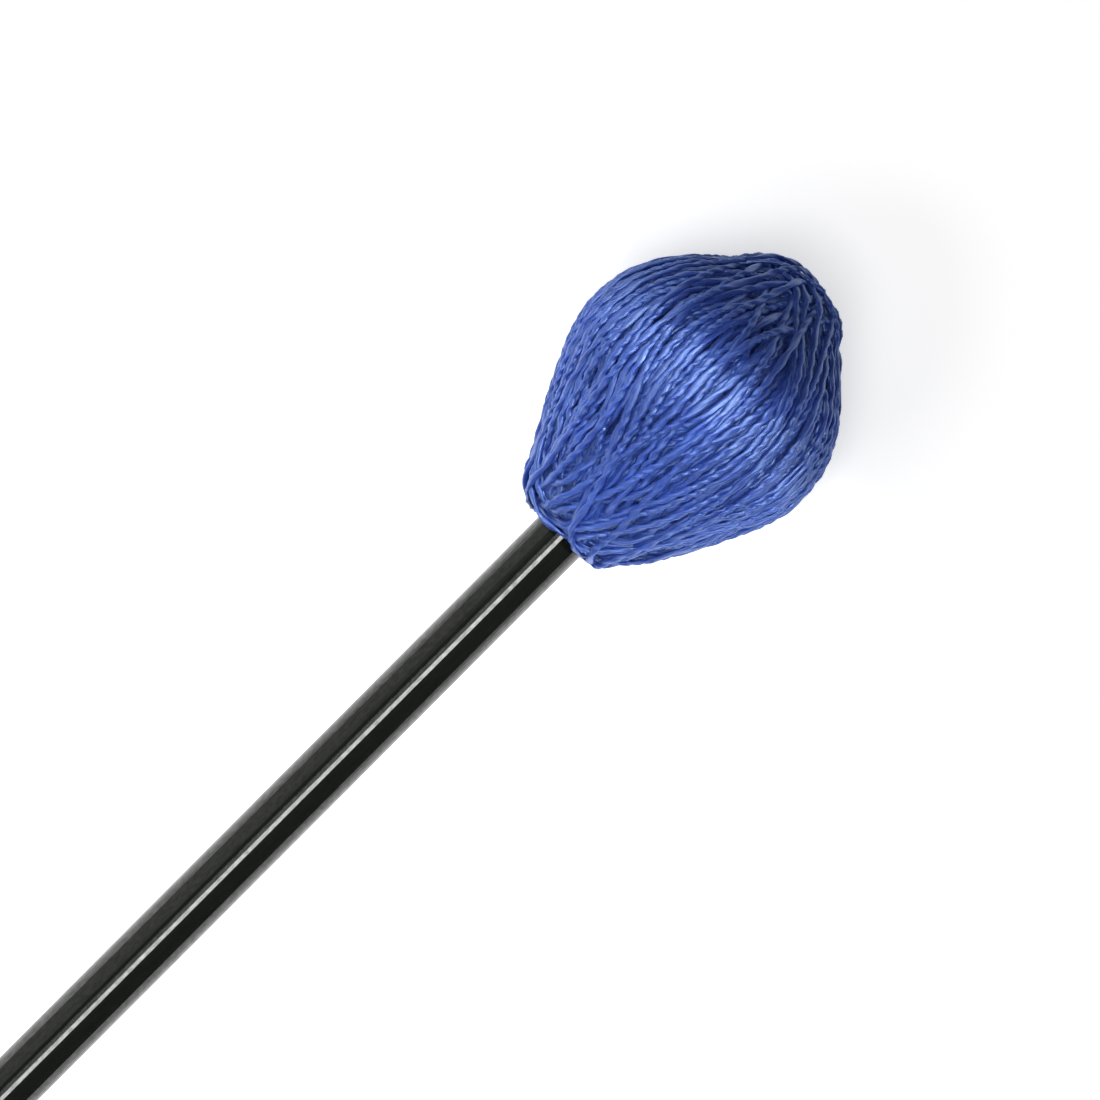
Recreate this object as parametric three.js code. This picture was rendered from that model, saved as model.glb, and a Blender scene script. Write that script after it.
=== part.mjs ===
// Cord mallet for vibraphone or marimba, lying on its side as on a table, in millimetres, +Z up.
// A glass-fibre shaft is glued into a moulded rubber core. Plain under-winding fills out the head,
// and the outer cord, one unbroken strand, winds over crown and neck in 24 loops.

import * as THREE from "three";

// Driving sizes
const malletLength = 394;
const shaftDiameter = 6.35;
const buttRound = 0.9;
const tipChamfer = 0.8;
const headDiameter = 32;
const headLength = 39.3;
const underWindingDepth = 2;
const collarDiameter = 10;
const collarRound = 1;
const socketDepth = 16;
const cordDiameter = 0.7;
const strandPitch = 1.15; // between strands that lie side by side
const layerPitch = 1.55; // between strands that cross
const neckSlack = 0.4; // between the shaft and the nearest strands
const touchGap = 0.3; // between other pieces that touch
const leastGap = 0.4; // the cord keeps more than this to itself

// Counts of the winding
const crownBands = 2;
const neckBands = 4;
const strandsPerBand = 12; // on each side of the crown
const stepsPerStrand = 12;
const cordSides = 6;
const endStep = 5; // the strand's ends stop this many steps short of the crown
const elbowSteps = 3;

// Angles from the crown, in degrees, between which the strands of the winding change their lie
const crownLayers = { from: 50, to: 80 };
const neckLayers = { from: 93, to: 107.5 };
const neckInner = { from: 108, to: 136 };
const crownGather = { from: 0, to: 89 };
const neckGather = { from: 99.5, to: 168 };
const bellyStretchShare = 0.47; // how much longer the steps are at the belly

// Outline of the wound head from crown to neck: height and radius as shares of the head's
const outlineShares = [
  [1, 0],
  [0.995, 0.21],
  [0.967, 0.367],
  [0.939, 0.439],
  [0.884, 0.565],
  [0.83, 0.698],
  [0.774, 0.816],
  [0.717, 0.903],
  [0.66, 0.964],
  [0.605, 0.99],
  [0.55, 1],
  [0.496, 0.991],
  [0.44, 0.954],
  [0.383, 0.898],
  [0.272, 0.766],
  [0.161, 0.611],
  [0.105, 0.524],
  [0.05, 0.439],
  [0.022, 0.379],
  [0.005, 0.3],
  [0, 0.2],
  [0, 0],
];

// Facets
const roundSides = 48;
const hiddenSides = 32;
const roundSteps = 5;
const outlineSamples = 720;
const settleRounds = 24;

const { degToRad, lerp, smoothstep } = THREE.MathUtils;
const headRadius = headDiameter / 2;
const shaftRadius = shaftDiameter / 2;
const cordRadius = cordDiameter / 2;
const centreHeight = headLength / 2;
const axis = new THREE.Vector3(0, 0, 1);
const strandAngle = Math.PI / (crownBands * strandsPerBand);
const crownBandAngle = Math.PI / crownBands;
const neckBandAngle = Math.PI / neckBands;

const materials = {
  shaft: new THREE.MeshStandardMaterial({ color: 0x20241f, roughness: 0.25, metalness: 0 }),
  core: new THREE.MeshStandardMaterial({ color: 0x8c3b2a, roughness: 0.8, metalness: 0 }),
  underWinding: new THREE.MeshStandardMaterial({ color: 0x23306f, roughness: 0.95, metalness: 0 }),
  cord: new THREE.MeshStandardMaterial({ color: 0x5a70bf, roughness: 0.75, metalness: 0 }),
};

// The wound head's outline

// Reach is the distance from the head's centre, and polar the angle from its crown
const outline = new THREE.SplineCurve(
  outlineShares.map(([height, radius]) => new THREE.Vector2(radius * headRadius, height * headLength)),
);
const outlineTable = outline.getPoints(outlineSamples).map((place) => ({
  polar: Math.atan2(place.x, place.y - centreHeight),
  reach: Math.hypot(place.x, place.y - centreHeight),
}));

function headReach(polar) {
  const next = outlineTable.findIndex((row) => row.polar > polar);
  if (next < 1) return outlineTable.at(next < 0 ? -1 : 0).reach;
  const low = outlineTable[next - 1];
  const high = outlineTable[next];
  return lerp(low.reach, high.reach, (polar - low.polar) / (high.polar - low.polar));
}

function ease(polar, span) {
  return smoothstep(polar, degToRad(span.from), degToRad(span.to));
}

// The strands of the winding
// A strand runs from crown to neck at its own azimuth. Strands of a band pass a pole side by side and
// straight across to the other side of the head. Two bands cross at the crown, and four at the neck,
// where they pass the shaft on both sides. Layer 0 is the outermost.

const bellyRadius = headReach(Math.PI / 2) - cordRadius;

function crownOffset(slot) {
  return (slot - strandsPerBand / 2) * strandPitch;
}

// Beside the shaft the strands of a band lie outwards in the order of their azimuths
function neckOffset(turn) {
  const innermost = shaftRadius + neckSlack + cordRadius;
  const rank = Math.floor(Math.abs(turn) / strandAngle);
  return Math.sign(turn) * (innermost + rank * strandPitch);
}

function crownDepth(polar, layer) {
  return layer * layerPitch * (1 - ease(polar, crownLayers));
}

// Neighbouring bands part first, and then those at right angles
function neckDepth(polar, band) {
  const lower = band % 2 === 0 ? 1 : 0;
  const innerLayer = lower + (band < 2 ? 1 : 0);
  return layerPitch * (lower * ease(polar, neckLayers) + innerLayer * ease(polar, neckInner));
}

// A place on the head, at a sideways offset from the plane of a band's azimuth
function placeOnHead(bandAzimuth, side, angle, offset, depthAt) {
  let distance = headRadius;
  for (let round = 0; round < settleRounds; round += 1) {
    const cosine = (distance * Math.cos(angle)) / Math.hypot(distance, offset);
    const polar = Math.acos(cosine);
    const reach = headReach(polar) - cordRadius - depthAt(polar);
    distance = (distance + Math.sqrt(reach ** 2 - offset ** 2)) / 2;
  }
  const along = side * distance * Math.sin(angle);
  const height = centreHeight + distance * Math.cos(angle);
  return new THREE.Vector3(along, offset, height).applyAxisAngle(axis, bandAzimuth);
}

// The angle of each step from crown to neck, longer at the belly
function stepAngle(step) {
  const share = step / stepsPerStrand;
  const stretch = (bellyStretchShare * Math.sin(2 * Math.PI * share)) / (2 * Math.PI);
  return Math.PI * (share - stretch);
}

function crownHalf(step, { azimuth, band, slot, layer }) {
  const angle = stepAngle(step);
  const bandAzimuth = band * crownBandAngle;
  const turn = azimuth - bandAzimuth;
  const side = Math.sign(Math.cos(turn));
  const offset = lerp(crownOffset(slot), bellyRadius * Math.sin(turn), ease(angle, crownGather));
  return placeOnHead(bandAzimuth, side, angle, offset, (polar) => crownDepth(polar, layer));
}

function neckHalf(step, { azimuth }) {
  const angle = stepAngle(step);
  const band = Math.floor(azimuth / neckBandAngle + neckBands) % neckBands;
  const bandAzimuth = (band + 1 / 2) * neckBandAngle;
  const sine = Math.sin(azimuth - bandAzimuth);
  const side = Math.sign(Math.cos(azimuth - bandAzimuth));
  const offset = lerp(bellyRadius * sine, neckOffset(Math.asin(sine)), ease(angle, neckGather));
  return placeOnHead(bandAzimuth, side, angle, offset, (polar) => neckDepth(polar, band));
}

// Passing the shaft, a strand goes on as the one half a band's width further round
function acrossNeck(number) {
  return (number + strandsPerBand / 2) % strandsPerBand;
}

function windingRoute() {
  const places = [];
  const bellyStep = stepsPerStrand / 2;
  const lastNumber = strandsPerBand - 1;
  for (let band = 0; band < crownBands; band += 1) {
    const layer = crownBands - 1 - band;
    const lastBand = band === crownBands - 1;
    let number = 0;
    for (let loop = 0; loop < strandsPerBand; loop += 1) {
      const opens = band === 0 && loop === 0;
      const next = acrossNeck(number);
      const closes = lastBand && next === lastNumber;
      const downTurn = (number - lastNumber / 2) * strandAngle;
      const upTurn = (next - lastNumber / 2) * strandAngle;
      const down = { azimuth: band * crownBandAngle + Math.PI - downTurn, band, slot: number };
      const up = { azimuth: band * crownBandAngle + upTurn, band, slot: next + 1 };
      down.layer = opens ? 0 : layer;
      up.layer = closes ? 0 : layer;
      if (next === lastNumber && !lastBand) Object.assign(up, { band: band + 1, slot: 0, layer: 0 });
      for (let step = opens ? endStep : 0; step < bellyStep; step += 1) {
        places.push(crownHalf(step, down));
      }
      for (let step = bellyStep; step < stepsPerStrand; step += 1) {
        places.push(neckHalf(step, down));
      }
      for (let step = stepsPerStrand; step >= bellyStep; step -= 1) {
        places.push(neckHalf(step, up));
      }
      for (let step = bellyStep - 1; step > (closes ? endStep - 1 : 0); step -= 1) {
        places.push(crownHalf(step, up));
      }
      number = next + 1;
    }
  }
  return places;
}

// The under-winding's surface, beneath the deepest strand and the sag of the longest step
const longestStep = stepAngle(stepsPerStrand / 2 + 1) - stepAngle(stepsPerStrand / 2);
const stepSag = headRadius * (1 - Math.cos(longestStep / 2));

function underReach(polar) {
  const deepest = crownDepth(polar, crownBands - 1) + neckDepth(polar, 0);
  return headReach(polar) - cordDiameter - touchGap - stepSag - deepest;
}

function outwardAt(place) {
  return new THREE.Vector3(place.x, place.y, place.z - centreHeight).normalize();
}

// An end of the cord turns in and runs straight down to the under-winding
function endRun(place, next) {
  const outward = outwardAt(place);
  const along = next.clone().sub(place);
  along.addScaledVector(outward, -along.dot(outward)).normalize();
  const bend = cordDiameter;
  const bendCentre = place.clone().addScaledVector(outward, -bend);
  const places = [];
  for (let step = 1; step <= elbowSteps; step += 1) {
    const turn = (Math.PI / 2) * (step / elbowSteps);
    const onBend = bendCentre.clone().addScaledVector(outward, bend * Math.cos(turn));
    places.push(onBend.addScaledVector(along, -bend * Math.sin(turn)));
  }
  const foot = places.at(-1).clone();
  const polar = Math.acos((foot.z - centreHeight) / foot.distanceTo(new THREE.Vector3(0, 0, centreHeight)));
  const drop = foot.distanceTo(new THREE.Vector3(0, 0, centreHeight)) - underReach(polar) - touchGap;
  places.push(foot.addScaledVector(outward, -drop));
  return places;
}

function cordRoute() {
  const route = windingRoute();
  const start = endRun(route[0], route[1]).reverse();
  const finish = endRun(route.at(-1), route.at(-2));
  return [...start, ...route, ...finish];
}

// The least gap of the cord to itself, measured on points, leaving out its own neighbourhood
function leastSelfGap(route) {
  const samples = [];
  let length = 0;
  for (let index = 1; index < route.length; index += 1) {
    const step = route[index].distanceTo(route[index - 1]);
    const parts = Math.ceil(step / cordRadius);
    for (let part = 0; part < parts; part += 1) {
      const place = route[index - 1].clone().lerp(route[index], part / parts);
      samples.push({ place, at: length + (step * part) / parts });
    }
    length += step;
  }
  const neighbourhood = 4 * cordDiameter;
  let least = Infinity;
  samples.forEach((one, index) => {
    for (let other = index + 1; other < samples.length; other += 1) {
      if (samples[other].at - one.at < neighbourhood) continue;
      least = Math.min(least, one.place.distanceToSquared(samples[other].place));
    }
  });
  return { gap: Math.sqrt(least) - cordDiameter, length };
}

// A closed tube along a route, its ends capped
function tubeAlong(route) {
  const positions = [];
  const sideways = new THREE.Vector3().crossVectors(outwardAt(route.at(-1)), outwardAt(route[0]));
  route.forEach((place, index) => {
    const before = route[Math.max(index - 1, 0)];
    const after = route[Math.min(index + 1, route.length - 1)];
    const along = after.clone().sub(before).normalize();
    sideways.addScaledVector(along, -sideways.dot(along)).normalize();
    const upward = new THREE.Vector3().crossVectors(along, sideways);
    for (let corner = 0; corner < cordSides; corner += 1) {
      const turn = (2 * Math.PI * corner) / cordSides;
      const rim = place.clone().addScaledVector(sideways, cordRadius * Math.cos(turn));
      rim.addScaledVector(upward, cordRadius * Math.sin(turn));
      positions.push(...rim.toArray());
    }
  });
  const indices = [];
  for (let ring = 0; ring + 1 < route.length; ring += 1) {
    for (let corner = 0; corner < cordSides; corner += 1) {
      const here = ring * cordSides + corner;
      const beside = ring * cordSides + ((corner + 1) % cordSides);
      indices.push(here, beside, here + cordSides);
      indices.push(beside, beside + cordSides, here + cordSides);
    }
  }
  const lastRing = (route.length - 1) * cordSides;
  for (let corner = 1; corner + 1 < cordSides; corner += 1) {
    indices.push(0, corner + 1, corner);
    indices.push(lastRing, lastRing + corner, lastRing + corner + 1);
  }
  const geometry = new THREE.BufferGeometry();
  geometry.setAttribute("position", new THREE.Float32BufferAttribute(positions, 3));
  geometry.setIndex(indices);
  geometry.computeVertexNormals();
  return geometry;
}

function revolved(profile, sides) {
  const geometry = new THREE.LatheGeometry(profile, sides);
  geometry.rotateX(Math.PI / 2);
  return geometry;
}

// The shaft, solid all along, its tip chamfered for the socket
function shaftGeometry(tipHeight) {
  const buttHeight = headLength - malletLength;
  const profile = [new THREE.Vector2(0, buttHeight)];
  for (let step = 0; step <= roundSteps; step += 1) {
    const turn = (Math.PI / 2) * (step / roundSteps);
    const radius = shaftRadius - buttRound + buttRound * Math.sin(turn);
    profile.push(new THREE.Vector2(radius, buttHeight + buttRound - buttRound * Math.cos(turn)));
  }
  profile.push(new THREE.Vector2(shaftRadius, tipHeight - tipChamfer));
  profile.push(new THREE.Vector2(shaftRadius - tipChamfer, tipHeight));
  profile.push(new THREE.Vector2(0, tipHeight));
  return revolved(profile, roundSides);
}

// A place on a surface that lies a set distance beneath the under-winding's
function underPlace(polar, beneath) {
  const reach = underReach(polar) - beneath;
  return new THREE.Vector2(reach * Math.sin(polar), centreHeight + reach * Math.cos(polar));
}

// The surface from the crown to where it meets a cylinder round the shaft, with the strands' own steps
function underOutline(beneath, cylinderRadius) {
  let lastPolar = Math.PI;
  for (let round = 0; round < settleRounds; round += 1) {
    lastPolar = Math.PI - Math.asin(cylinderRadius / (underReach(lastPolar) - beneath));
  }
  const profile = [];
  for (let step = 0; stepAngle(step) < lastPolar; step += 1) {
    profile.push(underPlace(stepAngle(step), beneath));
  }
  profile.push(underPlace(lastPolar, beneath));
  return profile;
}

const collarRadius = collarDiameter / 2;
const openingRadius = collarRadius + touchGap;
const underSurface = underOutline(0, openingRadius);
const collarHeight = underSurface.at(-1).y;
const socketTop = collarHeight + socketDepth;

// The under-winding is a shell round the core, open at the neck
function underWindingGeometry() {
  const inside = underOutline(underWindingDepth, openingRadius).reverse();
  return revolved([...underSurface, ...inside].reverse(), hiddenSides);
}

// The core follows the head's form, with a collar and a blind socket for the shaft
function coreGeometry() {
  const socketRadius = shaftRadius + touchGap;
  const profile = underOutline(underWindingDepth + touchGap, collarRadius);
  for (let step = 0; step <= roundSteps; step += 1) {
    const turn = (Math.PI / 2) * (step / roundSteps);
    const radius = collarRadius - collarRound + collarRound * Math.cos(turn);
    profile.push(new THREE.Vector2(radius, collarHeight + collarRound - collarRound * Math.sin(turn)));
  }
  profile.push(new THREE.Vector2(socketRadius, collarHeight));
  profile.push(new THREE.Vector2(socketRadius, socketTop));
  profile.push(new THREE.Vector2(0, socketTop));
  return revolved(profile.reverse(), hiddenSides);
}

// The mallet

function piece(name, geometry, material) {
  const mesh = new THREE.Mesh(geometry, material);
  mesh.name = name;
  return mesh;
}

const route = cordRoute();
const { gap, length } = leastSelfGap(route);
console.log(`cord: least gap to itself ${gap.toFixed(3)} mm, length ${length.toFixed(0)} mm`);
if (gap <= leastGap) console.warn(`the cord's gap to itself should be over ${leastGap} mm`);

const mallet = new THREE.Group();
mallet.add(
  piece("shaft", shaftGeometry(socketTop - touchGap), materials.shaft),
  piece("rubber_core", coreGeometry(), materials.core),
  piece("under_winding", underWindingGeometry(), materials.underWinding),
  piece("cord_winding", tubeAlong(route), materials.cord),
);

// Laid down, it touches the table with the head's widest ring and the butt's edge
const widestHeight = headLength * outlineShares.find(([, radius]) => radius === 1)[0];
const restingSpan = malletLength - headLength + widestHeight;
const tilt = Math.asin((headRadius - shaftRadius) / restingSpan);
mallet.rotation.y = Math.PI / 2 - tilt;

const table = new THREE.Group();
table.add(mallet);
const box = new THREE.Box3().setFromObject(table, true);
const middle = box.getCenter(new THREE.Vector3());
mallet.position.set(-middle.x, -middle.y, -box.min.z);

export default table;
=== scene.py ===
"""A cord mallet lying on a pale table. Metres, +Z up; the winding is worked out in millimetres."""

import math

import bpy
import numpy as np
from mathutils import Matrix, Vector


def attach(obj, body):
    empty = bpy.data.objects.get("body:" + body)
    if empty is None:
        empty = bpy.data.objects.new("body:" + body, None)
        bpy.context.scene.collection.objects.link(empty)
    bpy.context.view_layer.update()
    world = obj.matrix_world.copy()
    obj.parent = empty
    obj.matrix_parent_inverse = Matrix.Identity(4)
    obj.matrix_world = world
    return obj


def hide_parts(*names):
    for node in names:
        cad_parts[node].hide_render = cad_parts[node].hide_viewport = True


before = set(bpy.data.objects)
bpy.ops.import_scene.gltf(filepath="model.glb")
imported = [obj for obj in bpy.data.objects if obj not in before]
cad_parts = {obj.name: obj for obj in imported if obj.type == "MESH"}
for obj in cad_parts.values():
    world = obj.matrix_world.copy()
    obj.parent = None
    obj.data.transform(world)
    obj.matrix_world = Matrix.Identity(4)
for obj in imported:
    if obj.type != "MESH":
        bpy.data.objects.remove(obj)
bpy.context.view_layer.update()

MM = 0.001

# Sizes of the mallet in millimetres, as in the part's source
MALLET_LENGTH = 394.0
HEAD_LENGTH = 39.3
HEAD_RADIUS = 16.0
CENTRE_HEIGHT = HEAD_LENGTH / 2  # of the head's centre above its base
SHAFT_RADIUS = 3.175

# The head's outline, crown to neck: height and radius as shares of the head's. Mostly read off the
# photo, and a little higher at the crown than in the part's source
OUTLINE_SHARES = [
    (1.016, 0), (1.014, 0.12), (1.006, 0.22), (0.972, 0.367), (0.939, 0.439), (0.884, 0.565),
    (0.83, 0.698), (0.774, 0.816), (0.717, 0.903), (0.66, 0.964), (0.605, 0.99), (0.55, 1),
    (0.496, 0.991), (0.44, 0.954), (0.383, 0.898), (0.272, 0.766), (0.161, 0.611),
    (0.105, 0.524), (0.05, 0.439), (0.022, 0.379), (0.005, 0.3), (0, 0.2), (0, 0),
]
OUTLINE_PARTS = 24  # steps from one of these points to the next

# The neck's shoulder stands a little to one side
SHOULDER_SHIFT = 0.5
SHOULDER_HEIGHT = 2.2
SHOULDER_SPREAD = 2
SHOULDER_FROM = 4  # from the axis, where the shift begins
SHOULDER_OVER = 2.5  # and over how much it grows to the full

# The cord, in millimetres
CORD_DIAMETER = 0.8
CORD_WIDTH = 0.92  # the room that it is given as it lies, pressed flat on the head
CORD_THICKNESS = 0.62
HALF_THICKNESS = CORD_THICKNESS / 2
FULLER_WIDTH = 1.05  # the mesh is a little larger than that room
FULLER_THICKNESS = 1.1
PRESSED = 0.45  # how much of a strand's lower half holds the next one off
PLIES = 2
PLY_DEPTH = 0.2  # half the depth of the furrow between plies, as a share of the radius
LAY = 4.2  # one turn of the plies
TWIST_STRAY = 2.2  # turns between where the twist runs furthest behind and furthest ahead
TWIST_STRAY_SCALE = 0.35
SWELL = 0.5  # from the thinnest to the thickest place, as a share of the radius
SWELL_SCALE = 1.1
MESH_STEP = 0.42
SIDES_PER_PLY = 5
RING_SIDES = SIDES_PER_PLY * PLIES
CORD_GIRTH = 2.7  # once round the cord, for the proportions of the baked picture
ROW_SLACK = 1.0001  # so that the last corner still falls in the last row of that picture
BAKE_EDGE = 0.01  # left free at both ends of a row
BAKE_GAP = 0.06  # left free on both long sides of a row
SEAM_STEP = 0.3  # a corner this far behind its face lies past the seam

# How the strands are laid. A strand runs from crown to neck, and angles are counted from the crown
LANES = 122  # places for strands side by side round the widest ring
LAYERS = 3
STRANDS = LAYERS * LANES
STRANDS_PER_PIECE = 61
POINTS_PER_STRAND = 150
ANGLES = np.linspace(0, math.pi, POINTS_PER_STRAND)
KEPT_STEP = 2  # every second point is kept for the mesh
FIRST_OFFSET = 2.0
CROWN_OFFSETS = (-5.6, 5.6)  # how far from the axis the strands pass the crown
NECK_OFFSETS = (3.64, 5.9)  # how far from the axis they pass the shaft
OUTERMOST_STRANDS = 70
OUTERMOST_NECK_OFFSET = 4.7
LANE_SCATTER = 0.18  # how far from its lane's middle a strand lands, as a share of the lane
LEAN_MATTERS = 0.5
GAPS_MATTER = 6.0
CHANCE = 0.8
POLE_VIEW = 1.15  # the angle round a pole within which gaps are counted
SLANT = 0.16  # how far a strand leans at the widest ring, at most
SHARED_SWAY = 0.035  # how much neighbours sway together
LEANING_WAVES = (4, 7, 11)
RIPPLE = 0.012
RIPPLE_WAVES = 2.3
DEEPEST = 2.2  # a soft limit of the depth, at the widest ring
DEEPEST_AT_POLES = 1.9
SETTLE_ROUNDS = 30
NEIGHBOURS = (-2, -1, 0, 1, 2)
PILE_SMOOTHING = 2.5  # in points
LINE_SMOOTHING = 2.0
ACROSS_POINTS = 7
TUCK = 22  # points over which the cord's end goes under the other turns
TUCK_DEPTH = 4
LOOSE_AMONG = 150  # of this many strands laid first, some stand up from the others near the neck
LOOSE_SHARE = 0.15
LOOSE_ANGLES = (2.35, 2.95)
LOOSE_HEIGHTS = (0.15, 0.32)
LOOSE_SPREAD = 0.13
SEED = 12  # picked from 11 seeds; another one can leave holes at the outline

# Charts of how high the cord is piled, flat, one of the crown's half and one of the neck's
CELL = 0.2
CHART_HALF = 31.0
CHART_CELLS = int(2 * CHART_HALF / CELL)
CHART_REACH = math.radians(105)

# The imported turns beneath, a ribbed shell
RIBS = 60
RIB_OFFSET = 4.6  # how far from the axis the ribs pass the poles
RIB_HEIGHT = 0.3
STEEPEST_SWIRL = 0.95
COLUMNS_PER_RIB = 8
SHELL_ROWS = 110
SHELL_START = 0.03
SHELL_DEPTH = 2.4  # from the outline down to the shell
SHALLOWER_AT_POLES = 0.25
SHELL_THICKNESS = 1.1
NECK_RISE = 1.1  # the shell comes up to the outline round the shaft
NECK_RISE_FROM = 2.88
NECK_RISE_OVER = 0.06
NECK_SIDE = 2  # past this angle the shell keeps clear of the shaft
SHELL_TO_SHAFT = 0.15
RIBS_TO_SHAFT = 0.1
LEAST_SINE = 0.05

# The camera looks straight down
CAMERA_FROM_HEAD_BASE = (-1.547, -0.309, 450.8)
CAMERA_TURN = math.radians(-45.08)
CAMERA_LENS = 135

# Places in metres and powers in watts
BAND_LAMP_X = 0.42
BAND_AIM_X = 0.062
BAND_HEIGHT = 0.02
BAND_LAMPS = [  # the lamp's y and height, the x at which its cone ends, and its power
    (-0.85, 0.55, 0.1890, 9.0), (-0.5, 0.86, 0.1852, 8.6), (-0.25, 0.86, 0.1818, 8.6),
    (0.0, 0.86, 0.1818, 8.6), (0.25, 0.86, 0.1818, 8.6), (0.5, 0.86, 0.1852, 8.6),
    (0.85, 0.55, 0.1890, 9.0),
]
BAND_BLEND = 0.06
BAND_LAMP_RADIUS = 0.002
WORLD_LIGHT = 0.03
TABLE_HALF = 3.0


def head_place():
    """Where the mallet's axis enters the head, in metres, and the sine of the axis' rise to the crown.

    Both are measured on the shaft in the frame, the place to a micrometre and the sine to five digits.
    """
    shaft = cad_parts["shaft"].data
    corners = np.unique([corner.co[:] for corner in shaft.vertices], axis=0)
    middle = corners.mean(0)
    axis = np.linalg.svd(corners - middle, full_matrices=False)[2][0]
    axis = axis * np.sign(axis[0])
    butt = middle + axis * ((corners - middle) @ axis).min()
    base = butt / MM + axis * (MALLET_LENGTH - HEAD_LENGTH)
    return Vector(base.round(3)) * MM, round(float(axis[2]), 5)


HEAD_BASE, TILT_SINE = head_place()


# Trees of nodes

class Value:
    """A socket that takes part in sums."""

    def __init__(self, tree, socket):
        self.tree = tree
        self.socket = socket

    def __add__(self, other):
        return self.tree.math("ADD", self, other)

    __radd__ = __add__

    def __mul__(self, other):
        return self.tree.math("MULTIPLY", self, other)

    __rmul__ = __mul__

    def __sub__(self, other):
        return self.tree.math("SUBTRACT", self, other)

    def __rsub__(self, other):
        return self.tree.math("SUBTRACT", other, self)

    def __truediv__(self, other):
        return self.tree.math("DIVIDE", self, other)

    def __rtruediv__(self, other):
        return self.tree.math("DIVIDE", other, self)

    def __gt__(self, other):
        return self.tree.math("GREATER_THAN", self, other)

    def __lt__(self, other):
        return self.tree.math("LESS_THAN", self, other)

    def floor(self):
        return self.tree.math("FLOOR", self)

    def cosine(self):
        return self.tree.math("COSINE", self)

    def clamped(self):
        return self.tree.add("ShaderNodeClamp", {}, {0: self})

    def vector(self, operation, *others, output=0):
        settings = {"operation": operation}
        return self.tree.add("ShaderNodeVectorMath", settings, dict(enumerate([self, *others])), output)

    def scaled(self, factor):
        return self.tree.add("ShaderNodeVectorMath", {"operation": "SCALE"}, {0: self, 3: factor})


class Tree:
    """A tree of nodes, of a material or of geometry."""

    def __init__(self, tree):
        self.tree = tree

    def add(self, kind, settings=None, sockets=None, output=0):
        node = self.tree.nodes.new(kind)
        for name, value in (settings or {}).items():
            if name == "stops":
                self.set_stops(node.color_ramp, value)
            elif name == "captured":
                node.capture_items.new(value, "captured")
            else:
                setattr(node, name, value)
        for name, value in (sockets or {}).items():
            if isinstance(value, Value):
                self.tree.links.new(value.socket, node.inputs[name])
            else:
                node.inputs[name].default_value = value
        return Value(self, node.outputs[output]) if node.outputs else None

    def math(self, operation, *values):
        return self.add("ShaderNodeMath", {"operation": operation}, dict(enumerate(values)))

    def other(self, value, output):
        """Another output of the node that a value comes from."""
        return Value(self, value.socket.node.outputs[output])

    def captured(self, geometry, kind, value):
        """The geometry, and the value as it is at this place of the tree."""
        held = self.add("GeometryNodeCaptureAttribute", {"captured": kind}, {0: geometry, 1: value})
        return held, self.other(held, 1)

    @staticmethod
    def set_stops(ramp, stops):
        while len(ramp.elements) < len(stops):
            ramp.elements.new(1)
        for element, (position, colour) in zip(ramp.elements, stops):
            element.position = position
            element.color = (*colour, 1)


def srgb(red, green, blue):
    """A colour as a picture holds it, 0 to 255, as the light it stands for."""
    shares = [c / 255 for c in (red, green, blue)]
    return tuple(s / 12.92 if s <= 0.04045 else ((s + 0.055) / 1.055) ** 2.4 for s in shares)


def new_material(name):
    material = bpy.data.materials.new(name)
    material.use_nodes = True
    material.node_tree.nodes.clear()
    return material, Tree(material.node_tree)


def finished(material, tree, sockets):
    shader = tree.add("ShaderNodeBsdfPrincipled", {}, sockets)
    tree.add("ShaderNodeOutputMaterial", {}, {"Surface": shader})
    return material


def object_place(tree):
    return tree.add("ShaderNodeTexCoord", {}, {}, output="Object")


def stretched(tree, vector, scale):
    return tree.add("ShaderNodeMapping", {}, {"Vector": vector, "Scale": scale})


def mix(tree, share, first, second):
    sockets = {0: share, 6: (*first, 1), 7: (*second, 1)}
    return tree.add("ShaderNodeMix", {"data_type": "RGBA"}, sockets, output=2)


def noise(tree, vector, scale=1.0, detail=2.0, roughness=0.5):
    sockets = {"Vector": vector, "Scale": scale, "Detail": detail, "Roughness": roughness}
    return tree.add("ShaderNodeTexNoise", {}, sockets)


def bump(tree, strength, depth, height):
    sockets = {"Strength": strength, "Distance": depth * MM, "Height": height}
    return tree.add("ShaderNodeBump", {}, sockets)


# Finishes

def cord_material():
    """Softly twisted cotton: blue plies with a sheen, lighter and darker along the cord."""
    material, tree = new_material("blue_cotton_cord")
    along_around = tree.add("ShaderNodeUVMap", {"uv_map": "cord_length"})
    fibres = noise(tree, stretched(tree, along_around, (0.7, 8.0, 1.0)), detail=3.0, roughness=0.6)
    lengths = noise(tree, stretched(tree, along_around, (0.045, 0.25, 1.0)))
    patches = noise(tree, object_place(tree), 170.0)
    shade = (fibres - 0.5) * 0.9 + (lengths - 0.5) * 0.9 + (patches - 0.5) * 0.5 + 0.5
    stops = [(0.0, srgb(20, 36, 106)), (0.5, srgb(32, 57, 140)), (1.0, srgb(56, 90, 180))]
    colour = tree.add("ShaderNodeValToRGB", {"stops": stops}, {0: shade.clamped()})
    return finished(material, tree, {
        "Base Color": colour, "Roughness": 0.38 + (fibres - 0.5) * 0.3,
        "Normal": bump(tree, 1.0, 0.1, fibres - 0.5),
        "Sheen Weight": 0.3, "Sheen Roughness": 0.5, "Sheen Tint": (0.2, 0.35, 1.0, 1.0),
        "IOR": 1.8, "Specular IOR Level": 1.0, "Specular Tint": (0.42, 0.62, 1.0, 1.0),
        "Subsurface Weight": 1.0, "Subsurface Scale": 0.8 * MM, "Subsurface Radius": (0.5, 0.6, 1.0),
    })


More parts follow.
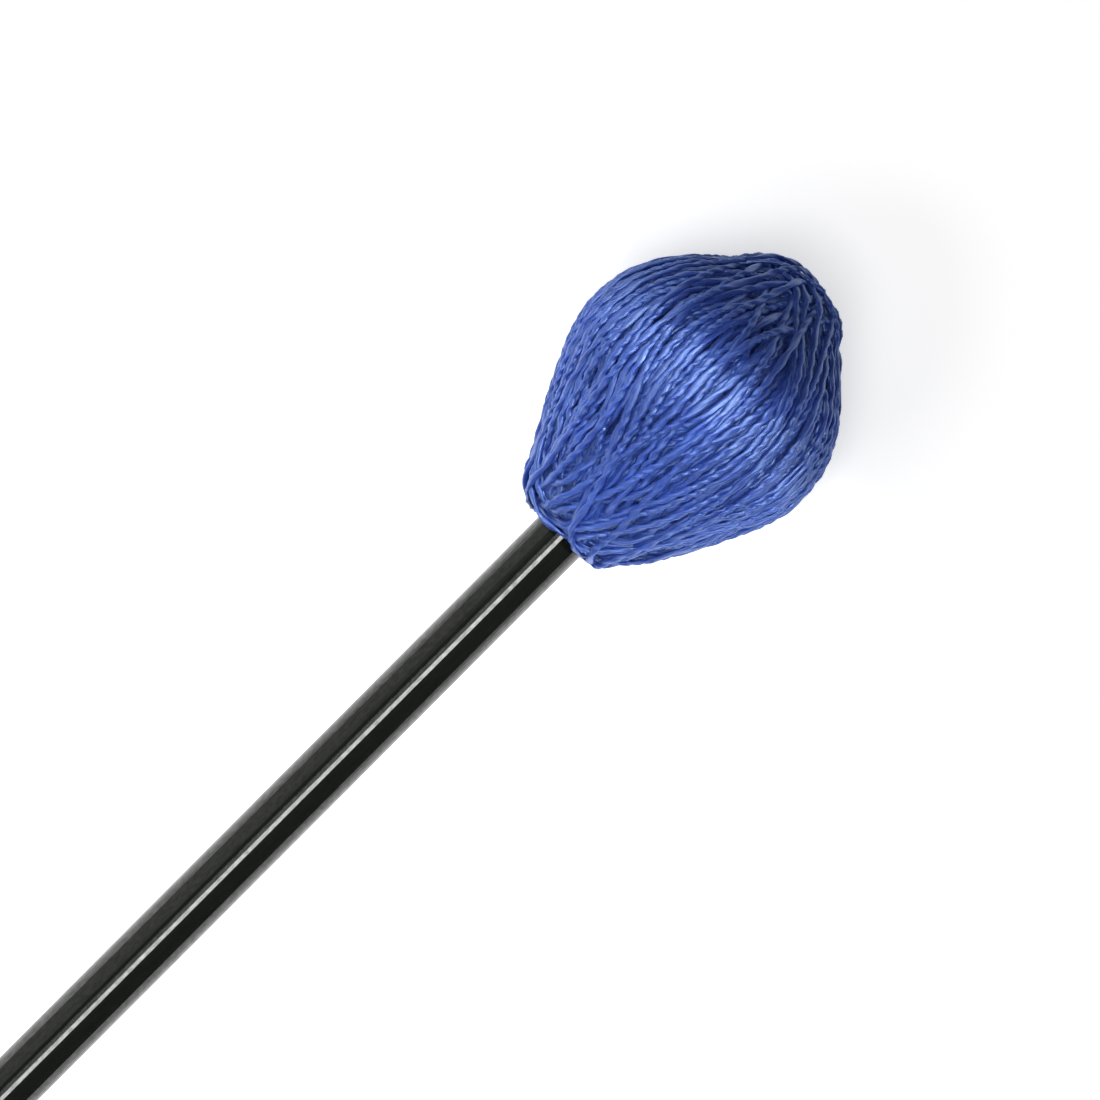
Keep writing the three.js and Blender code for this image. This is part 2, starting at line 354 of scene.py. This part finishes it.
def inner_turns_material():
    """The same cotton where it lies packed beneath the outer turns, with painted shade: coloured darker
    than the outer cord for the shade that those turns cast.
    """
    material, tree = new_material("inner_cotton_painted_shade")
    patches = noise(tree, object_place(tree), 900.0, 3.0, 0.6)
    return finished(material, tree, {
        # painted shade: these blues are darker than the outer cord's own colour
        "Base Color": mix(tree, patches, srgb(18, 30, 84), srgb(36, 54, 122)),
        "Roughness": 0.75 + (patches - 0.5) * 0.2,
        "Normal": bump(tree, 0.6, 0.2, patches),
        "Specular IOR Level": 0.25, "Specular Tint": (0.55, 0.72, 1.0, 1.0),
    })


def shaft_material():
    """Glossy black glass fibre, with fine lengthwise fibres that break up the light."""
    material, tree = new_material("black_glass_fibre")
    place = object_place(tree)
    fibres = noise(tree, stretched(tree, place, (260.0, 2600.0, 2600.0)), detail=3.0, roughness=0.6)
    grains = noise(tree, stretched(tree, place, (1500.0, 2500.0, 2500.0)))
    return finished(material, tree, {
        "Base Color": mix(tree, fibres, srgb(9, 11, 9), srgb(20, 23, 19)),
        "Roughness": 0.22 + (grains - 0.5) * 0.24,
        "Normal": bump(tree, 0.6, 0.06, grains * 0.6 + fibres * 0.4),
        "Specular IOR Level": 0.06,
        "Coat Weight": 0.48 + (grains - 0.5) * 0.7, "Coat Roughness": 0.08, "Coat IOR": 1.9,
    })


def rubber_material():
    """Moulded rubber of the hidden core."""
    material, tree = new_material("moulded_rubber")
    patches = noise(tree, object_place(tree), 400.0, 3.0, 0.6)
    return finished(material, tree, {
        "Base Color": mix(tree, patches, srgb(128, 52, 36), srgb(152, 66, 46)),
        "Roughness": 0.7 + (patches - 0.5) * 0.2,
        "Normal": bump(tree, 0.3, 0.1, patches),
    })


def table_material():
    material, tree = new_material("pale_table")
    patches = noise(tree, object_place(tree), 6.0)
    return finished(material, tree, {
        "Base Color": mix(tree, patches, (0.76, 0.76, 0.76), (0.79, 0.79, 0.79)),
        "Roughness": 0.9, "Emission Color": (1, 1, 1, 1), "Emission Strength": 0.6,
    })


# The head's outline

def smooth_curve(points):
    """A curve through points, with rounded turns."""
    points = np.array(points, float)
    ends = np.vstack([2 * points[0] - points[1], points, 2 * points[-1] - points[-2]])
    made = []
    for a, b, c, d in zip(ends, ends[1:], ends[2:], ends[3:]):
        for t in np.arange(OUTLINE_PARTS) / OUTLINE_PARTS:
            made.append(0.5 * (
                2 * b + (c - a) * t + (2 * a - 5 * b + 4 * c - d) * t**2
                + (3 * b - a - 3 * c + d) * t**3
            ))
    return np.array([*made, points[-1]])


def outline():
    """The angles from the crown, as seen from the head's centre, and how far the outline is there."""
    heights, radii = smooth_curve(OUTLINE_SHARES).T * [[HEAD_LENGTH], [HEAD_RADIUS]]
    radii = np.maximum(radii, 0)
    angles = np.maximum.accumulate(np.arctan2(radii, heights - CENTRE_HEIGHT))
    return angles, np.hypot(radii, heights - CENTRE_HEIGHT)


OUTLINE_ANGLES, OUTLINE_REACHES = outline()


def reach_at(polar):
    return np.interp(polar, OUTLINE_ANGLES, OUTLINE_REACHES)


def smoothed(values, steps):
    """Each value as the mean of its neighbourhood, the ends held."""
    width = int(3 * steps)
    bell = np.exp(-0.5 * (np.arange(-width, width + 1) / steps) ** 2)
    held = np.pad(values, width, mode="edge")
    return np.convolve(held, bell / bell.sum(), mode="valid")


# A strand passes both poles at an offset from the axis, and its own azimuth is the one at the
# widest ring

def strand_places(azimuth, crown_offset, neck_offset, sway, depth):
    """Places on the head's outline, a depth beneath it."""
    crown_side = ANGLES < math.pi / 2
    offset = np.where(crown_side, crown_offset, neck_offset)
    depth_at_ring = np.interp(math.pi / 2, ANGLES, np.broadcast_to(depth, ANGLES.shape))
    ring = reach_at(math.pi / 2) - depth_at_ring
    plane = azimuth - np.arcsin(offset / ring) + sway
    distance = np.full(offset.shape, HEAD_RADIUS)
    for _ in range(SETTLE_ROUNDS):
        polar = np.arccos(np.clip(distance * np.cos(ANGLES) / np.hypot(distance, offset), -1, 1))
        reach = reach_at(polar) - depth
        distance = 0.5 * (distance + np.sqrt(np.maximum(reach**2 - offset**2, 1)))
    along = distance * np.sin(ANGLES)
    x = along * np.cos(plane) - offset * np.sin(plane)
    y = along * np.sin(plane) + offset * np.cos(plane)
    return np.stack([x, y, CENTRE_HEIGHT + distance * np.cos(ANGLES)], -1)


def chart_cells(places):
    """The cells of places on the crown's chart and on the neck's."""
    centred = places - [0, 0, CENTRE_HEIGHT]
    around = np.arctan2(centred[..., 1], centred[..., 0])
    polar = np.arctan2(np.hypot(centred[..., 0], centred[..., 1]), centred[..., 2])
    found = []
    for angle in (polar, math.pi - polar):
        radius = HEAD_RADIUS * angle
        column = (radius * np.cos(around) + CHART_HALF) / CELL
        row = (radius * np.sin(around) + CHART_HALF) / CELL
        cells = np.stack([row, column], -1)
        found.append((np.clip(cells, 0, CHART_CELLS - 1).astype(int), angle < CHART_REACH))
    return found


def across(places):
    """Unit vectors that point sideways from a strand, on the head's surface."""
    forward = np.gradient(places, axis=0)
    outward = places - [0, 0, CENTRE_HEIGHT]
    side = np.cross(forward, outward)
    return side / np.linalg.norm(side, axis=1, keepdims=True)


class Turns:
    """Where a strand turns over a pole, so that the lanes round the widest ring fill evenly and
    few gaps are left near the poles."""

    def __init__(self, draws):
        self.draws = draws
        self.lane = 2 * math.pi / LANES
        self.filled = np.zeros(LANES, int)
        waves = draws.uniform(0, 2 * math.pi, len(LEANING_WAVES))
        rings = np.arange(LANES) * self.lane
        self.leaning = sum(np.cos(k * rings + wave) for k, wave in zip(LEANING_WAVES, waves))

    def choose(self, number, azimuth, chart):
        """The offset of the turn from the axis, and the azimuth of the strand that follows."""
        down = number % 2 == 0
        low, high = NECK_OFFSETS if down else CROWN_OFFSETS
        if down and number < OUTERMOST_STRANDS:
            high = OUTERMOST_NECK_OFFSET
        spins = azimuth + math.pi - 2 * np.arcsin(np.array([high, low]) / HEAD_RADIUS)
        reachable = np.arange(math.ceil(spins[0] / self.lane), math.floor(spins[1] / self.lane) + 1)
        layers = self.filled[reachable % LANES]
        shifts = self.draws.uniform(-LANE_SCATTER, LANE_SCATTER, len(reachable))
        landings = (reachable + 0.5 * (layers % 2) + shifts) * self.lane
        offsets = HEAD_RADIUS * np.sin((azimuth + math.pi - landings) / 2)
        bare = self.bare_share(down, azimuth, offsets, chart)
        bare = bare + self.bare_share(down, landings, -offsets, chart)
        mismatch = ((self.leaning[reachable % LANES] > 0) == down) * (layers == 0)
        chance = self.draws.uniform(0, CHANCE, len(reachable))
        score = layers + LEAN_MATTERS * mismatch + chance - GAPS_MATTER * bare
        chosen = np.argmin(score)
        self.filled[reachable[chosen] % LANES] += 1
        return offsets[chosen], landings[chosen]

    @staticmethod
    def bare_share(down, azimuths, offsets, chart):
        """How much of each strand's way near the pole would cover bare places."""
        azimuths = np.broadcast_to(azimuths, offsets.shape)[:, None]
        flat = strand_places(azimuths, offsets[:, None], offsets[:, None], 0, HALF_THICKNESS)
        near = ANGLES > math.pi - POLE_VIEW if down else ANGLES < POLE_VIEW
        cells, _ = chart_cells(flat[:, near])[1 if down else 0]
        return (chart[cells[..., 0], cells[..., 1]] == 0).mean(1)


# The section of a strand, from edge to edge
ACROSS_SHARES = np.linspace(-1, 1, ACROSS_POINTS)
SIDEWAYS = ACROSS_SHARES * CORD_WIDTH / 2
ROUNDING = np.sqrt(1 - ACROSS_SHARES**2) * HALF_THICKNESS


def strand_sway(azimuth, waves, draws):
    """Angles by which a strand strays sideways on its way."""
    together = SHARED_SWAY * (math.cos(3 * azimuth + waves[0]) + math.cos(5 * azimuth + waves[1]))
    sway = together * np.sin(ANGLES) * np.sin(2 * ANGLES)
    sway = sway + draws.uniform(-SLANT, SLANT) * np.sin(2 * ANGLES) / 2 * np.sin(ANGLES)
    ripple = draws.uniform(-RIPPLE, RIPPLE) * np.sin(ANGLES)
    return sway + ripple * np.sin(RIPPLE_WAVES * ANGLES + draws.uniform(0, 6))


def strand_cells(azimuth, offsets, sway):
    """The cells that a strand covers on both charts."""
    flat = strand_places(azimuth, *offsets, sway, HALF_THICKNESS)
    return chart_cells(flat[:, None] + across(flat)[:, None] * SIDEWAYS[None, :, None])


def piled(charts, cells):
    """How deep cord lies already along a strand's way."""
    above = np.zeros(POINTS_PER_STRAND)
    for chart, (cell, inside) in zip(charts, cells):
        pile = np.where(inside, chart[cell[..., 0], cell[..., 1]] - (HALF_THICKNESS - ROUNDING), 0)
        above = np.maximum(above, pile.max(1))
    widest = np.max([np.roll(above, k) for k in NEIGHBOURS], axis=0)
    return smoothed(widest, PILE_SMOOTHING)


def loose_lift(draws):
    """How far a loose strand stands up, most at one place near the neck."""
    where = draws.uniform(*LOOSE_ANGLES)
    return draws.uniform(*LOOSE_HEIGHTS) * np.exp(-((ANGLES - where) / LOOSE_SPREAD) ** 2)


def note_bottoms(charts, cells, bottoms):
    """Write on the charts how deep they are filled."""
    for chart, (cell, inside) in zip(charts, cells):
        np.maximum.at(chart, (cell[..., 0][inside], cell[..., 1][inside]), bottoms[inside])


def settled_depths(depths):
    """The strands' depths, crown to neck, smoothed along the whole cord so that no step is left where
    one strand turns into the next, with the end tucked in and the soft limit applied."""
    line = np.concatenate([depth[::-1] if number % 2 else depth for number, depth in enumerate(depths)])
    line = smoothed(line, LINE_SMOOTHING)
    line[:TUCK] += TUCK_DEPTH * np.linspace(1, 0, TUCK) ** 2
    deepest = DEEPEST_AT_POLES + (DEEPEST - DEEPEST_AT_POLES) * np.sin(ANGLES) ** 2
    deepest = np.tile(deepest, STRANDS)
    line = deepest * (1 - np.exp(-line / deepest))
    parts = line.reshape(STRANDS, POINTS_PER_STRAND)
    return [part[::-1] if number % 2 else part for number, part in enumerate(parts)]


def wound_cord():
    """The outer winding as lines of places, one for each strand, crown to neck.

    The first strand is laid against the outline, and each later one beneath those that it
    crosses. The soft limit of the depth squeezes the deeper ones into each other.
    """
    draws = np.random.default_rng(SEED)
    turns = Turns(draws)
    waves = draws.uniform(0, 2 * math.pi, 4)[:2]  # four are drawn and two are used
    charts = [np.zeros((CHART_CELLS, CHART_CELLS)) for _ in range(2)]
    laid = []
    depths = []
    waiting = None  # a strand counts as piled only once the next one is laid
    azimuth = 0.0
    passed = FIRST_OFFSET
    for number in range(STRANDS):
        down = number % 2 == 0
        offset, landing = turns.choose(number, azimuth, charts[1 if down else 0])
        offsets = (-passed, offset) if down else (offset, -passed)
        sway = strand_sway(azimuth, waves, draws)
        cells = strand_cells(azimuth, offsets, sway)
        depth = piled(charts, cells) + HALF_THICKNESS
        if number < LOOSE_AMONG and draws.random() < LOOSE_SHARE:
            depth = depth - loose_lift(draws)
        if waiting is not None:
            note_bottoms(charts, *waiting)
        waiting = (cells, depth[:, None] + PRESSED * ROUNDING[None])
        laid.append((azimuth, *offsets, sway))
        depths.append(depth)
        azimuth, passed = landing, offset
    return [strand_places(*way, depth) for way, depth in zip(laid, settled_depths(depths))]


def to_table(places):
    """Places on the head, in millimetres, as they lie on the table, in metres."""
    places = places.copy()
    from_axis = np.hypot(places[:, 0], places[:, 1])
    apart = np.clip((from_axis - SHOULDER_FROM) / SHOULDER_OVER, 0, 1)
    near = np.exp(-((places[:, 2] - SHOULDER_HEIGHT) / SHOULDER_SPREAD) ** 2)
    places[:, 1] += SHOULDER_SHIFT * apart * near
    lift = math.sqrt(1 - TILT_SINE**2)
    turned = np.stack([
        places[:, 0] * TILT_SINE + places[:, 2] * lift,
        places[:, 1],
        -places[:, 0] * lift + places[:, 2] * TILT_SINE,
    ], 1)
    return turned * MM + np.array(HEAD_BASE)


# The cord's own tree: a line of places becomes a tube of twisted plies

def cord_sockets(group):
    face = group.interface
    face.new_socket(name="Line", in_out="INPUT", socket_type="NodeSocketGeometry")
    for name in ("Diameter", "Width", "Thickness", "Step", "Lay", "Row Length", "Rows", "Ply Depth"):
        face.new_socket(name=name, in_out="INPUT", socket_type="NodeSocketFloat")
    face.new_socket(name="Middle", in_out="INPUT", socket_type="NodeSocketVector")
    face.new_socket(name="Finish", in_out="INPUT", socket_type="NodeSocketMaterial")
    face.new_socket(name="Cord", in_out="OUTPUT", socket_type="NodeSocketGeometry")


def noise_along(tree, way, scale):
    sockets = {"W": way, "Scale": scale, "Detail": 1.0}
    return tree.add("ShaderNodeTexNoise", {"noise_dimensions": "1D"}, sockets)


def twisted_line(tree, line, place, step, lay):
    """The line with the plies' turns and swellings, and each point's length along it and place."""
    curve = tree.add("GeometryNodeMeshToCurve", {}, {0: line})
    curve = tree.add("GeometryNodeCurveSplineType", {"spline_type": "CATMULL_ROM"}, {0: curve})
    curve = tree.add("GeometryNodeResampleCurve", {"mode": "LENGTH"}, {"Curve": curve, "Length": step})
    length = tree.add("GeometryNodeSplineParameter", {}, {}, output="Length")
    even_turns = length / lay
    turns = even_turns + (noise_along(tree, even_turns, TWIST_STRAY_SCALE) - 0.5) * TWIST_STRAY
    curve = tree.add("GeometryNodeSetCurveTilt", {}, {"Curve": curve, "Tilt": turns * (2 * math.pi)})
    radius = (noise_along(tree, even_turns, SWELL_SCALE) - 0.5) * SWELL + 1
    curve = tree.add("GeometryNodeSetCurveRadius", {}, {"Curve": curve, "Radius": radius})
    curve, along = tree.captured(curve, "FLOAT", length)
    curve, centre = tree.captured(curve, "VECTOR", place)
    return curve, along, centre


def ply_ring(tree, place, diameter, ply_depth):
    """The cord's section, with a bulge for each ply, and each corner's share of the way round."""
    sockets = {"Resolution": RING_SIDES, "Radius": 1.0}
    ring = tree.add("GeometryNodeCurvePrimitiveCircle", {"mode": "RADIUS"}, sockets)
    share = tree.add("GeometryNodeInputIndex") / RING_SIDES
    ring, around = tree.captured(ring, "FLOAT", share)
    bulge = (share * (2 * math.pi * PLIES)).cosine() * ply_depth + (1 - ply_depth)
    corner = place.scaled(bulge * diameter * 0.5)
    return tree.add("GeometryNodeSetPosition", {}, {"Geometry": ring, "Position": corner}), around


def pressed_flat(tree, cord, place, centre, middle, diameter, width, thickness):
    """The cord wider along the head's surface and thinner towards the head's middle."""
    outward = centre.vector("SUBTRACT", middle).vector("NORMALIZE")
    reach = place.vector("SUBTRACT", centre)
    height = reach.vector("DOT_PRODUCT", outward, output=1)
    thinner = outward.scaled(height * (thickness - width) / diameter)
    corner = centre.vector("ADD", reach.scaled(width / diameter).vector("ADD", thinner))
    return tree.add("GeometryNodeSetPosition", {}, {"Geometry": cord, "Position": corner})


def unwrapped(tree, cord, along, around, row_length, rows):
    """The cord with its two maps: lengths in millimetres, and rows that fill the baked picture."""

    def of_face(value):
        settings = {"data_type": "FLOAT", "domain": "FACE"}
        return tree.add("GeometryNodeFieldOnDomain", settings, {0: value})

    past_seam = of_face(around) - around > SEAM_STEP
    round_share = around + past_seam
    row = (of_face(along) / row_length).floor()
    across_row = (along - row * row_length) / row_length
    for name, u, v in (
        ("cord_length", along * (1 / MM), round_share),
        ("OFBake", across_row * (1 - 2 * BAKE_EDGE) + BAKE_EDGE,
         (row + BAKE_GAP + round_share * (1 - 2 * BAKE_GAP)) / rows),
    ):
        pair = tree.add("ShaderNodeCombineXYZ", {}, {0: u, 1: v})
        cord = tree.add(
            "GeometryNodeStoreNamedAttribute", {"data_type": "FLOAT2", "domain": "CORNER"},
            {"Geometry": cord, "Name": name, "Value": pair},
        )
    return cord


def cord_tree():
    group = bpy.data.node_groups.new("twisted_cord", "GeometryNodeTree")
    cord_sockets(group)
    tree = Tree(group)
    line = tree.add("NodeGroupInput")
    diameter, width, thickness, middle = (
        tree.other(line, name) for name in ("Diameter", "Width", "Thickness", "Middle")
    )
    step, lay, row_length, rows, ply_depth, finish = (
        tree.other(line, name) for name in ("Step", "Lay", "Row Length", "Rows", "Ply Depth", "Finish")
    )
    place = tree.add("GeometryNodeInputPosition")
    curve, along, centre = twisted_line(tree, line, place, step, lay)
    ring, around = ply_ring(tree, place, diameter, ply_depth)
    cord = tree.add("GeometryNodeCurveToMesh", {}, {0: curve, 1: ring, "Fill Caps": True})
    cord = pressed_flat(tree, cord, place, centre, middle, diameter, width, thickness)
    cord = unwrapped(tree, cord, along, around, row_length, rows)
    cord = tree.add("GeometryNodeSetShadeSmooth", {}, {0: cord})
    cord = tree.add("GeometryNodeRealizeInstances", {}, {0: cord})
    cord = tree.add("GeometryNodeSetMaterial", {}, {"Geometry": cord, "Material": finish})
    tree.add("NodeGroupOutput", {}, {0: cord})
    return group


def add_object(name, data):
    made = bpy.data.objects.new(name, data)
    bpy.context.scene.collection.objects.link(made)
    return made


def grown(obj, group, values):
    """A plain mesh object from what a tree makes of obj, which is removed."""
    modifier = obj.modifiers.new("made", "NODES")
    modifier.node_group = group
    sockets = {s.name: s.identifier for s in group.interface.items_tree if s.in_out == "INPUT"}
    for name, value in values.items():
        modifier[sockets[name]] = value
    bpy.context.view_layer.update()
    shape = bpy.data.meshes.new_from_object(obj.evaluated_get(bpy.context.evaluated_depsgraph_get()))
    name = obj.name
    bpy.data.objects.remove(obj)
    return add_object(name, shape)


def line_object(name, places):
    mesh = bpy.data.meshes.new(name)
    mesh.from_pydata(places.tolist(), [(i, i + 1) for i in range(len(places) - 1)], [])
    return add_object(name, mesh)


def joined_strands(strands, first):
    """The places of the strands of one piece in one line, every second strand neck to crown."""
    line = []
    for number in range(first, first + STRANDS_PER_PIECE):
        places = strands[number][::KEPT_STEP]
        places = places[::-1] if number % 2 else places
        line.extend(places[1:] if line else places)
    return to_table(np.array(line))


def outer_turns():
    """The outer winding in pieces, from the strands laid first to those laid last."""
    finish = cord_material()
    group = cord_tree()
    strands = wound_cord()
    middle = to_table(np.array([[0, 0, CENTRE_HEIGHT]]))[0]
    for first in range(0, STRANDS, STRANDS_PER_PIECE):
        places = joined_strands(strands, first)
        length = np.linalg.norm(np.diff(places, axis=0), axis=1).sum()
        rows = math.ceil(math.sqrt(length / (CORD_GIRTH * MM)))
        name = f"cord_turns_{first // STRANDS_PER_PIECE + 1}"
        piece = grown(line_object(name, places), group, {
            "Diameter": CORD_DIAMETER * MM, "Width": CORD_WIDTH * FULLER_WIDTH * MM,
            "Thickness": CORD_THICKNESS * FULLER_THICKNESS * MM, "Middle": tuple(middle),
            "Step": MESH_STEP * MM, "Lay": LAY * MM,
            "Row Length": length / rows * ROW_SLACK, "Rows": float(rows), "Ply Depth": PLY_DEPTH,
            "Finish": finish,
        })
        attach(piece, "root")
        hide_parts("cord_winding")
        print(name, f"{length:.3f} m of cord")


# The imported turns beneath

def shell_outline():
    """Reaches and angles of the shell's outer side, crown to neck, as far as the shaft lets it go."""
    rows = []
    for polar in np.linspace(SHELL_START, math.pi, SHELL_ROWS):
        depth = SHELL_DEPTH - SHALLOWER_AT_POLES * (1 - math.sin(polar))
        if polar > NECK_RISE_FROM:
            depth -= NECK_RISE * min((polar - NECK_RISE_FROM) / NECK_RISE_OVER, 1)
        reach = float(reach_at(polar)) - depth
        if polar < NECK_SIDE or reach * math.sin(polar) > SHAFT_RADIUS + SHELL_TO_SHAFT:
            rows.append((reach, polar))
    return rows


def shell_ring(angles, reach, polar, rib_height):
    """One ring of the shell, with two families of ribs that cross as they near the poles."""
    swirl = math.asin(min(RIB_OFFSET / max(reach * math.sin(polar), RIB_OFFSET), STEEPEST_SWIRL))
    families = [np.abs(np.cos(RIBS / 2 * (angles + way * swirl))) for way in (-1, 1)]
    least = 0
    if polar > NECK_SIDE:
        least = (SHAFT_RADIUS + RIBS_TO_SHAFT) / max(math.sin(polar), LEAST_SINE)
    reach = np.maximum(reach + rib_height * np.maximum(*families), least)
    radius = reach * math.sin(polar)
    height = CENTRE_HEIGHT + reach * math.cos(polar)
    return np.stack([radius * np.cos(angles), radius * np.sin(angles), height], 1)


def tube_faces(rows, columns):
    """Faces between rings of corners, and one over each end."""
    faces = [tuple(range(columns)), tuple(reversed(range((rows - 1) * columns, rows * columns)))]
    for row in range(rows - 1):
        for column in range(columns):
            a = row * columns + column
            b = row * columns + (column + 1) % columns
            faces.append((a, a + columns, b + columns, b))
    return faces


def inner_turns():
    """A closed shell: its outer side with the strands as ribs, and back along a plain inner side."""
    columns = COLUMNS_PER_RIB * RIBS
    angles = np.arange(columns) * 2 * math.pi / columns
    outer = shell_outline()
    rings = [shell_ring(angles, reach, polar, RIB_HEIGHT) for reach, polar in outer]
    rings += [shell_ring(angles, reach - SHELL_THICKNESS, polar, 0) for reach, polar in outer[::-1]]
    mesh = bpy.data.meshes.new("inner_turns")
    mesh.from_pydata(to_table(np.concatenate(rings)).tolist(), [], tube_faces(len(rings), columns))
    mesh.update()
    piece = add_object("inner_turns", mesh)
    mesh.materials.append(inner_turns_material())
    mesh.shade_smooth()
    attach(piece, "root")
    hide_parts("under_winding")


def dress_nodes():
    for name, finish in (("shaft", shaft_material()), ("rubber_core", rubber_material())):
        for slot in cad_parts[name].material_slots:
            slot.material = finish


# Camera and studio

def make_camera():
    camera = bpy.data.cameras.new("camera")
    camera.lens = CAMERA_LENS
    camera.sensor_width = 36
    camera.clip_start, camera.clip_end = 0.01, 10
    obj = add_object("camera", camera)
    obj.location = HEAD_BASE + Vector(CAMERA_FROM_HEAD_BASE) * MM
    obj.rotation_euler = (0, 0, CAMERA_TURN)
    bpy.context.scene.camera = obj


def point_at(obj, place, aim):
    obj.location = place
    obj.rotation_euler = (Vector(aim) - Vector(place)).to_track_quat("-Z", "Y").to_euler()


def area_light(name, place, aim, size, power):
    light = bpy.data.lights.new(name, "AREA")
    light.shape = "RECTANGLE"
    light.size, light.size_y = size
    light.energy = power
    point_at(add_object(name, light), place, aim)


def shaded_light(name, place, aim, edge, power):
    """A small light whose cone ends at a point, with a narrow soft edge."""
    light = bpy.data.lights.new(name, "SPOT")
    light.spot_size = 2 * (Vector(aim) - Vector(place)).angle(Vector(edge) - Vector(place))
    light.spot_blend = BAND_BLEND
    light.shadow_soft_size = BAND_LAMP_RADIUS
    light.energy = power
    point_at(add_object(name, light), place, aim)


def make_lights():
    area_light("strip", (-0.01, -0.02, 0.9), (-0.01, -0.02, 0.0), (0.37, 0.24), 3.2)
    area_light("neck_side", (-0.6, 0.2, 0.86), (0.17, 0, 0), (0.4, 0.25), 2.4)
    for number, (y, height, edge_x, power) in enumerate(BAND_LAMPS):
        aim = (BAND_AIM_X, 0, BAND_HEIGHT)
        edge = (edge_x, 0, BAND_HEIGHT)
        shaded_light(f"band_{number}", (BAND_LAMP_X, y, height), aim, edge, power)
    area_light("upper_side", (0.0, 0.9, 0.45), (0.15, 0, 0), (0.8, 1.0), 1.3)


def make_studio():
    mesh = bpy.data.meshes.new("table")
    corners = [(x * TABLE_HALF, y * TABLE_HALF, 0) for x, y in ((-1, -1), (1, -1), (1, 1), (-1, 1))]
    mesh.from_pydata(corners, [], [(0, 1, 2, 3)])
    table = add_object("table", mesh)
    mesh.materials.append(table_material())
    world = bpy.data.worlds.new("studio")
    bpy.context.scene.world = world
    world.use_nodes = True
    background = world.node_tree.nodes["Background"]
    background.inputs["Color"].default_value = (1, 1, 1, 1)
    background.inputs["Strength"].default_value = WORLD_LIGHT
    make_lights()
    bpy.context.scene.view_settings.view_transform = "Standard"


make_camera()
dress_nodes()
inner_turns()
outer_turns()
make_studio()
